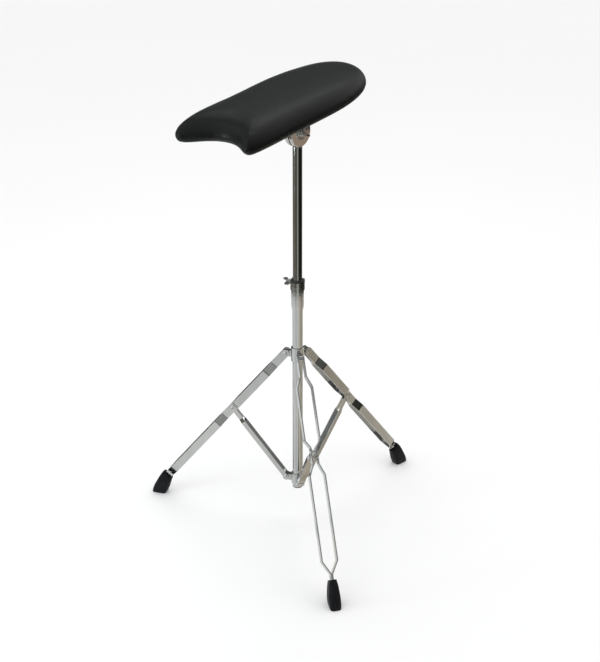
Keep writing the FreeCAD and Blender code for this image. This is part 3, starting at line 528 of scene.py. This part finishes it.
def edge_distance(points, outline):
    """Distance from each point to the outline, smooth also where two sides are as near."""
    after = np.roll(outline, -1, 0)
    pieces = np.linalg.norm(after - outline, axis=1)
    gaps = np.linalg.norm(points[:, None, :] - (outline + after)[None, :, :] / 2, axis=2)
    pull = np.sum(pieces / np.maximum(gaps, 1e-6) ** 4, axis=1)
    return (pi / 2 / pull) ** (1 / 3)


def top_height(points, outline, rim):
    """Height of the pad's top over its widest line: rounded edge, then a soft crown."""
    near = edge_distance(points, outline)
    notch = np.array([0.0, NOTCH_DEPTH - PAD_BACK])
    away = np.clip(np.linalg.norm(points - notch, axis=1) / NOTCH_REACH, 0.0, 1.0)
    ease = away * away * (3 - 2 * away)
    edge = np.clip(near / (NOTCH_ROUND + (PAD_ROUND - NOTCH_ROUND) * ease), 0.0, 1.0)
    rise = np.clip(near / (NOTCH_CROWN + (CROWN_REACH - NOTCH_CROWN) * ease), 0.0, 1.0)
    wall = (1 - PAD_WIDEST) * rim
    return wall * np.sqrt(1 - (1 - edge) ** 2) + PAD_CROWN * (1 - (1 - rise) ** 2)


def pad_rings():
    """Rings of points from the underside's middle, round the rim, to the top's middle."""
    fine = drawn_in(closed_curve(pad_points(), FINE_STEPS), SWELL_ROOM)
    outline = drawn_in(closed_curve(pad_points(), OUTLINE_STEPS), SWELL_ROOM)
    rim = PAD_THICK - 2 * SWELL_ROOM
    widest = PAD_WIDEST * rim
    middle = np.array([0.0, PAD_MIDDLE])
    rings = []
    under = drawn_in(outline, PAD_UNDER)
    for keep in UNDER_RINGS:
        rings.append((middle + (under - middle) * keep, np.full(OUTLINE_STEPS, PAD_BOTTOM)))
    for turn in np.linspace(0.0, pi / 2, RIM_RINGS):
        inset = PAD_UNDER * (1 - sin(turn))
        rings.append((drawn_in(outline, inset),
                      np.full(OUTLINE_STEPS, PAD_BOTTOM + widest * (1 - cos(turn)))))
    for share in np.linspace(0.0, 1.0, EDGE_RINGS + 1)[1:]:
        ring = drawn_in(outline, EDGE_BAND * share * share)
        rings.append((ring, PAD_BOTTOM + widest + top_height(ring, fine, rim)))
    top = rings[-1][0]
    for keep in np.linspace(1.0, 0.0, TOP_RINGS + 2)[1:-1]:
        ring = middle + (top - middle) * keep
        rings.append((ring, PAD_BOTTOM + widest + top_height(ring, fine, rim)))
    return rings


def pad_shell():
    """Closed mesh of the pad before it is filled."""
    shape = bmesh.new()
    loops = []
    for flat, heights in pad_rings():
        loops.append([shape.verts.new((x, y, z)) for (x, y), z in zip(flat, heights)])
    for lower, upper in zip(loops, loops[1:]):
        for k in range(OUTLINE_STEPS):
            after = (k + 1) % OUTLINE_STEPS
            shape.faces.new((lower[k], lower[after], upper[after], upper[k]))
    shape.faces.new(list(reversed(loops[0])))
    shape.faces.new(loops[-1])
    return mesh_from(shape, "pad")


def applied(piece):
    """The piece's mesh with its modifiers applied."""
    graph = bpy.context.evaluated_depsgraph_get()
    mesh = bpy.data.meshes.new_from_object(piece.evaluated_get(graph))
    piece.modifiers.clear()
    piece.data = mesh
    return mesh


def remesh(piece):
    """Even quads all over the piece, eased where the rings left a ridge."""
    even = piece.modifiers.new("even", "REMESH")
    even.mode = "VOXEL"
    even.voxel_size = PAD_VOXEL
    ease = piece.modifiers.new("ease", "SMOOTH")
    ease.factor = EVEN_FACTOR
    ease.iterations = EVEN_ROUNDS
    applied(piece)


def cloth_moves(piece, rest):
    """How far each point of a skin under pressure moves, held on the board's underside."""
    held = piece.vertex_groups.new(name="held")
    flat = [k for k, point in enumerate(rest) if point[2] < PAD_BOTTOM + PAD_VOXEL / 2]
    held.add(flat, 1.0, "REPLACE")
    settings = piece.modifiers.new("fill", "CLOTH").settings
    settings.vertex_group_mass = "held"
    settings.use_pressure = True
    settings.uniform_pressure_force = CLOTH_PRESSURE
    settings.quality = CLOTH_QUALITY
    settings.mass = CLOTH_MASS
    settings.tension_stiffness = CLOTH_STRETCH
    settings.compression_stiffness = CLOTH_STRETCH
    settings.bending_stiffness = CLOTH_BEND
    settings.effector_weights.gravity = 0.0
    for step in range(1, CLOTH_FRAMES + 1):
        SCENE.frame_set(step)
    graph = bpy.context.evaluated_depsgraph_get()
    swollen = piece.evaluated_get(graph).data
    moves = np.array([vertex.co for vertex in swollen.vertices]) - rest
    piece.modifiers.clear()
    SCENE.frame_set(1)
    return moves


def evened(values, mesh):
    """One value for each vertex, moved towards its neighbours' mean over and over."""
    ends = np.array([edge.vertices[:] for edge in mesh.edges])
    shared = np.bincount(ends.ravel(), minlength=len(values))
    for _ in range(SWELL_EASE):
        total = np.bincount(ends[:, 0], values[ends[:, 1]], len(values))
        total += np.bincount(ends[:, 1], values[ends[:, 0]], len(values))
        values = (values + total / shared) / 2
    return values


def fill_pad(piece):
    """Vinyl drawn over foam: it moves along its normals only, within the two caps."""
    mesh = piece.data
    rest = np.array([vertex.co for vertex in mesh.vertices])
    moves = cloth_moves(piece, rest)
    outward = np.array([vertex.normal for vertex in mesh.vertices])
    swell = np.sum(moves * outward, axis=1)
    cap = np.where(swell > 0, SWELL_CAP, SINK_CAP)
    swell = evened(cap * np.tanh(swell / cap), mesh)
    for vertex, point in zip(mesh.vertices, rest + outward * swell[:, None]):
        vertex.co = (point[0], point[1], max(point[2], PAD_BOTTOM))


def pad_piece():
    """The upholstered pad."""
    pad = link_piece("pad", pad_shell(), "vinyl")
    remesh(pad)
    fill_pad(pad)
    smooth = pad.modifiers.new("smooth", "SUBSURF")
    smooth.levels = 1
    smooth.render_levels = 1
    mesh = applied(pad)
    mesh.transform(seat_frame())
    for face in mesh.polygons:
        face.use_smooth = True
    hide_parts("seat_cover", "seat_foam")


def staples():
    """Staples that hold the bottom cloth, just inside its edge."""
    line = drawn_in(closed_curve(pad_points(), OUTLINE_STEPS), STAPLE_INSET)
    lengths = np.linalg.norm(np.roll(line, -1, 0) - line, axis=1)
    every = max(1, round(STAPLE_PITCH / lengths.mean()))
    low = PAD_BOTTOM - LINING_UNDER - STAPLE_THICK
    shape = bmesh.new()
    for k in range(0, OUTLINE_STEPS, every):
        ahead = Vector(line[(k + 1) % OUTLINE_STEPS] - line[k - 1]).normalized()
        turn = Matrix(((ahead.x, -ahead.y, 0), (ahead.y, ahead.x, 0), (0, 0, 1)))
        middle = Vector((*line[k], low + STAPLE_THICK / 2))
        for vertex in bmesh.ops.create_cube(shape, size=1.0)["verts"]:
            point = Vector((vertex.co.x * STAPLE_LENGTH,
                            vertex.co.y * STAPLE_THICK * STAPLE_WIDE,
                            vertex.co.z * STAPLE_THICK))
            vertex.co = turn @ point + middle
    bmesh.ops.bevel(shape, geom=shape.edges[:], offset=STAPLE_THICK * STAPLE_BEVEL, segments=2,
                    affect="EDGES")
    mesh = mesh_from(shape, "staples")
    mesh.transform(seat_frame())
    link_piece("staples", mesh, "bright_steel")


# --- Studio -----------------------------------------------------------------------------------
def floor_material():
    """White paper sweep."""
    material, graph, shader = new_material("studio_floor")
    tone = graph.noise(graph.place(), scale=1.2, detail=2.0)
    graph.feed_all(shader, {
        "Base Color": graph.ramp(tone, [(0.0, 0.93), (1.0, 0.95)]),
        "Roughness": 0.9,
        "Specular IOR Level": 0.1,
    })
    return material


def board_material():
    """Board under the stand that shows only in reflections: its cool grey, warm and dark bands
    are painted reflections on the chrome.
    """
    material, graph, shader = new_material("reflector_board")
    parts = graph.add("ShaderNodeSeparateXYZ", {"Vector": graph.place()})
    # the bands by angle round the pole are painted reflections: the chrome legs show them as
    # warm, cool and dark patches
    bands = graph.ramp(graph.turn(parts.outputs["Y"], parts.outputs["X"]), [
        (0.00, (0.86, 0.89, 0.90)),
        (0.20, (0.95, 0.96, 0.95)),
        (0.29, (0.62, 0.66, 0.68)),
        (0.33, (0.92, 0.93, 0.91)),
        (0.44, (0.74, 0.71, 0.64)),
        (0.52, (0.60, 0.52, 0.40)),
        (0.60, (0.36, 0.31, 0.22)),
        (0.68, (0.62, 0.56, 0.46)),
        (0.80, (0.88, 0.87, 0.83)),
        (1.00, (0.86, 0.89, 0.90)),
    ])
    blotch = graph.noise(graph.place(), scale=5.0, detail=3.0, roughness=0.6)
    graph.feed_all(shader, {
        "Base Color": graph.mix(graph.span(blotch, 0.0, 0.30), bands, (0.95, 0.95, 0.95)),
        "Roughness": 1.0,
        "Specular IOR Level": 0.0,
    })
    return material


def floor_disc(name, radius, material):
    """Round sheet on the floor plane."""
    shape = bmesh.new()
    bmesh.ops.create_circle(shape, cap_ends=True, segments=DISC_SIDES, radius=radius)
    mesh = mesh_from(shape, name)
    floor = bpy.data.objects.new(name, mesh)
    floor.location.z = cad_low.z
    SCENE.collection.objects.link(floor)
    mesh.materials.append(material)
    return floor


def floor_and_board():
    """The floor that the camera sees, and the board that the chrome sees instead of it."""
    floor = floor_disc("floor", FLOOR_RADIUS, floor_material())
    floor.visible_glossy = False
    board = floor_disc("reflector_board", BOARD_RADIUS, board_material())
    board.visible_camera = False
    board.visible_diffuse = False
    board.visible_shadow = False


def surroundings():
    """White all round, but in reflections walls and a sky in upright bands."""
    world = bpy.data.worlds.new("studio")
    world.use_nodes = True
    SCENE.world = world
    graph = Graph(world.node_tree)
    direction = graph.add("ShaderNodeTexCoord").outputs["Generated"]
    parts = graph.add("ShaderNodeSeparateXYZ", {"Vector": direction})
    # turn round the pole, 0 to 1, with 0.5 towards CAMERA_AZIMUTH
    turned = graph.add("ShaderNodeVectorRotate",
                       {"Vector": direction, "Angle": -radians(CAMERA_AZIMUTH)},
                       rotation_type="Z_AXIS")
    around = graph.add("ShaderNodeSeparateXYZ", {"Vector": turned.outputs[0]})
    turn = graph.turn(around.outputs["X"], graph.math("MULTIPLY", around.outputs["Y"], -1.0))
    walls = graph.ramp(turn, [
        (0.00, (0.42, 0.43, 0.41)),
        (0.10, (0.20, 0.20, 0.17)),
        (0.24, (0.18, 0.175, 0.15)),
        (0.36, (0.17, 0.155, 0.13)),
        (0.43, (0.03, 0.028, 0.02)),
        (0.475, (0.34, 0.36, 0.32)),
        (0.53, (0.42, 0.45, 0.40)),
        (0.575, (0.05, 0.05, 0.04)),
        (0.66, (0.006, 0.008, 0.006)),
        (0.80, (0.03, 0.03, 0.025)),
        (0.92, (0.20, 0.20, 0.18)),
        (1.00, (0.42, 0.43, 0.41)),
    ], "EASE")
    sky = graph.ramp(turn, [
        (0.00, (0.085, 0.105, 0.090)),
        (0.12, (0.20, 0.22, 0.21)),
        (0.24, (0.80, 0.82, 0.82)),
        (0.42, (0.70, 0.72, 0.72)),
        (0.52, (0.34, 0.36, 0.36)),
        (0.74, (0.30, 0.29, 0.26)),
        (0.83, (0.95, 0.95, 0.95)),
        (0.90, (0.95, 0.95, 0.95)),
        (0.94, (0.10, 0.12, 0.105)),
        (1.00, (0.085, 0.105, 0.090)),
    ], "EASE")
    height = graph.math("ADD", graph.math("MULTIPLY", parts.outputs["Z"], 0.5), 0.5)
    ceiling = graph.ramp(height, [(0.50, 0.0), (0.60, 1.0)], "EASE")
    gloss = graph.mix(ceiling, walls, sky)
    path = graph.add("ShaderNodeLightPath")
    lit = graph.mix(path.outputs["Is Glossy Ray"], (1.0, 1.0, 1.0), gloss)
    background = graph.add("ShaderNodeBackground", {"Color": lit, "Strength": 1.0})
    graph.add("ShaderNodeOutputWorld", {"Surface": background.outputs[0]})


def area_light(name, place, target, size, power, colour=(1.0, 1.0, 1.0)):
    data = bpy.data.lights.new(name, "AREA")
    data.shape = "RECTANGLE"
    data.size, data.size_y = size
    data.energy = power
    data.color = colour
    light = bpy.data.objects.new(name, data)
    light.location = place
    aim = Vector(target) - Vector(place)
    light.rotation_euler = aim.to_track_quat("-Z", "Y").to_euler()
    SCENE.collection.objects.link(light)


def lights():
    """A soft light overhead, a faint warm one at the tilter and a cool one at the notch."""
    area_light("overhead", place=(-0.6, 0.9, 2.6), target=(0.0, 0.0, 0.9),
               size=(1.6, 1.1), power=8.0)
    area_light("low_right", place=(0.46, 0.50, 0.60), target=(0.0, 0.0, 0.87),
               size=(0.16, 0.16), power=0.035, colour=(1.0, 0.74, 0.58))
    area_light("front_left", place=(-0.88, -1.40, 0.52), target=(0.0, -0.2, 0.92),
               size=(0.34, 0.34), power=4.0, colour=(0.82, 0.92, 1.0))


def camera():
    """A camera at the azimuth, distance, height and pitch that the top of the file gives."""
    spin = radians(CAMERA_AZIMUTH)
    data = bpy.data.cameras.new("camera")
    data.lens = CAMERA_LENS
    data.sensor_width = CAMERA_SENSOR
    data.clip_end = CAMERA_REACH
    cam = bpy.data.objects.new("camera", data)
    cam.location = (CAMERA_DISTANCE * sin(spin), -CAMERA_DISTANCE * cos(spin), CAMERA_HEIGHT)
    cam.rotation_euler = (radians(90 - CAMERA_PITCH), 0.0, spin - radians(CAMERA_YAW))
    SCENE.collection.objects.link(cam)
    SCENE.camera = cam


finish_nodes()
pad_piece()
staples()
floor_and_board()
surroundings()
lights()
camera()
SCENE.view_settings.view_transform = "Standard"
